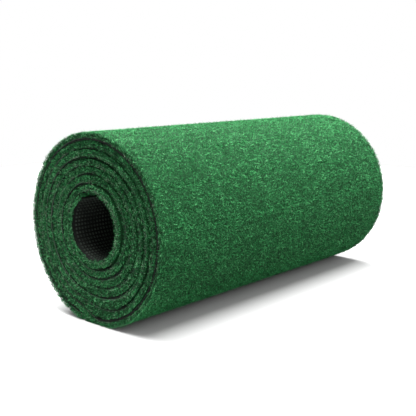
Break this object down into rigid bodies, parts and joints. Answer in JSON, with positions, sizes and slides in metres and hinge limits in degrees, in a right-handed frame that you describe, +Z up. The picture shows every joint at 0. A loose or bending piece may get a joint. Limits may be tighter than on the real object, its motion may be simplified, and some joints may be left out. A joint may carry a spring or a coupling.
{
  "type": "practice putting mat",
  "caption": "Turf putting mat wound pile-outward into a roll on its side, with a strip-hinged outer turn that peels off and lies flat.",
  "frame": {"origin": "on the floor, under the winding centre and within the flat foot of the roll", "axes": "+X along the roll, across the mat's width; +Z up from the floor; -Y is the side the outer turn peels off to"},
  "size_m": [0.3, 0.1434, 0.1418],
  "materials": {
    "turf": "short looped green turf pile, matt, with light and dark flecks",
    "woven_backing": "plain woven grey-green primary backing, seen as a thin pale line at a cut edge",
    "grip_backing": "near-black rubber with a square grid of small moulded nubs, satin"
  },
  "bodies": {
    "roll": {"turf_pile_roll": "turf", "woven_backing_roll": "woven_backing", "grip_backing_roll": "grip_backing"},
    "strip_01": {"turf_pile_strip_01": "turf", "woven_backing_strip_01": "woven_backing", "grip_backing_strip_01": "grip_backing"},
    "strip_02": {"turf_pile_strip_02": "turf", "woven_backing_strip_02": "woven_backing", "grip_backing_strip_02": "grip_backing"},
    "strip_03": {"turf_pile_strip_03": "turf", "woven_backing_strip_03": "woven_backing", "grip_backing_strip_03": "grip_backing"},
    "strip_04": {"turf_pile_strip_04": "turf", "woven_backing_strip_04": "woven_backing", "grip_backing_strip_04": "grip_backing"},
    "strip_05": {"turf_pile_strip_05": "turf", "woven_backing_strip_05": "woven_backing", "grip_backing_strip_05": "grip_backing"},
    "strip_06": {"turf_pile_strip_06": "turf", "woven_backing_strip_06": "woven_backing", "grip_backing_strip_06": "grip_backing"},
    "strip_07": {"turf_pile_strip_07": "turf", "woven_backing_strip_07": "woven_backing", "grip_backing_strip_07": "grip_backing"},
    "strip_08": {"turf_pile_strip_08": "turf", "woven_backing_strip_08": "woven_backing", "grip_backing_strip_08": "grip_backing"},
    "strip_09": {"turf_pile_strip_09": "turf", "woven_backing_strip_09": "woven_backing", "grip_backing_strip_09": "grip_backing"},
    "strip_10": {"turf_pile_strip_10": "turf", "woven_backing_strip_10": "woven_backing", "grip_backing_strip_10": "grip_backing"},
    "strip_11": {"turf_pile_strip_11": "turf", "woven_backing_strip_11": "woven_backing", "grip_backing_strip_11": "grip_backing"},
    "strip_12": {"turf_pile_strip_12": "turf", "woven_backing_strip_12": "woven_backing", "grip_backing_strip_12": "grip_backing"},
    "strip_13": {"turf_pile_strip_13": "turf", "woven_backing_strip_13": "woven_backing", "grip_backing_strip_13": "grip_backing"},
    "strip_14": {"turf_pile_strip_14": "turf", "woven_backing_strip_14": "woven_backing", "grip_backing_strip_14": "grip_backing"}
  },
  "joints": [
    {"name": "unroll", "type": "hinge", "parent": "roll", "child": "strip_01", "pos_m": [0, -0.01491, 0], "axis": [1, 0, 0], "range_deg": [0, 24]},
    {"name": "bend_02", "type": "hinge", "parent": "strip_01", "child": "strip_02", "pos_m": [0, -0.04214, 0.01213], "axis": [1, 0, 0], "range_deg": [0, 24]},
    {"name": "bend_03", "type": "hinge", "parent": "strip_02", "child": "strip_03", "pos_m": [0, -0.06209, 0.03428], "axis": [1, 0, 0], "range_deg": [0, 24]},
    {"name": "bend_04", "type": "hinge", "parent": "strip_03", "child": "strip_04", "pos_m": [0, -0.07131, 0.06264], "axis": [1, 0, 0], "range_deg": [0, 24]},
    {"name": "bend_05", "type": "hinge", "parent": "strip_04", "child": "strip_05", "pos_m": [0, -0.06819, 0.09229], "axis": [1, 0, 0], "range_deg": [0, 24]},
    {"name": "bend_06", "type": "hinge", "parent": "strip_05", "child": "strip_06", "pos_m": [0, -0.05328, 0.11811], "axis": [1, 0, 0], "range_deg": [0, 24]},
    {"name": "bend_07", "type": "hinge", "parent": "strip_06", "child": "strip_07", "pos_m": [0, -0.02916, 0.13563], "axis": [1, 0, 0], "range_deg": [0, 24]},
    {"name": "bend_08", "type": "hinge", "parent": "strip_07", "child": "strip_08", "pos_m": [0, 0, 0.14183], "axis": [1, 0, 0], "range_deg": [0, 24]},
    {"name": "bend_09", "type": "hinge", "parent": "strip_08", "child": "strip_09", "pos_m": [0, 0.02916, 0.13563], "axis": [1, 0, 0], "range_deg": [0, 24]},
    {"name": "bend_10", "type": "hinge", "parent": "strip_09", "child": "strip_10", "pos_m": [0, 0.05328, 0.11811], "axis": [1, 0, 0], "range_deg": [0, 24]},
    {"name": "bend_11", "type": "hinge", "parent": "strip_10", "child": "strip_11", "pos_m": [0, 0.06819, 0.09229], "axis": [1, 0, 0], "range_deg": [0, 24]},
    {"name": "bend_12", "type": "hinge", "parent": "strip_11", "child": "strip_12", "pos_m": [0, 0.07131, 0.06264], "axis": [1, 0, 0], "range_deg": [0, 24]},
    {"name": "bend_13", "type": "hinge", "parent": "strip_12", "child": "strip_13", "pos_m": [0, 0.06209, 0.03428], "axis": [1, 0, 0], "range_deg": [0, 24]},
    {"name": "bend_14", "type": "hinge", "parent": "strip_13", "child": "strip_14", "pos_m": [0, 0.04214, 0.01213], "axis": [1, 0, 0], "range_deg": [0, 24]}
  ],
  "couplings": [
    {"joint": "bend_02", "follows": "unroll", "ratio": 1},
    {"joint": "bend_03", "follows": "unroll", "ratio": 1},
    {"joint": "bend_04", "follows": "unroll", "ratio": 1},
    {"joint": "bend_05", "follows": "unroll", "ratio": 1},
    {"joint": "bend_06", "follows": "unroll", "ratio": 1},
    {"joint": "bend_07", "follows": "unroll", "ratio": 1},
    {"joint": "bend_08", "follows": "unroll", "ratio": 1},
    {"joint": "bend_09", "follows": "unroll", "ratio": 1},
    {"joint": "bend_10", "follows": "unroll", "ratio": 1},
    {"joint": "bend_11", "follows": "unroll", "ratio": 1},
    {"joint": "bend_12", "follows": "unroll", "ratio": 1},
    {"joint": "bend_13", "follows": "unroll", "ratio": 1},
    {"joint": "bend_14", "follows": "unroll", "ratio": 1}
  ]
}
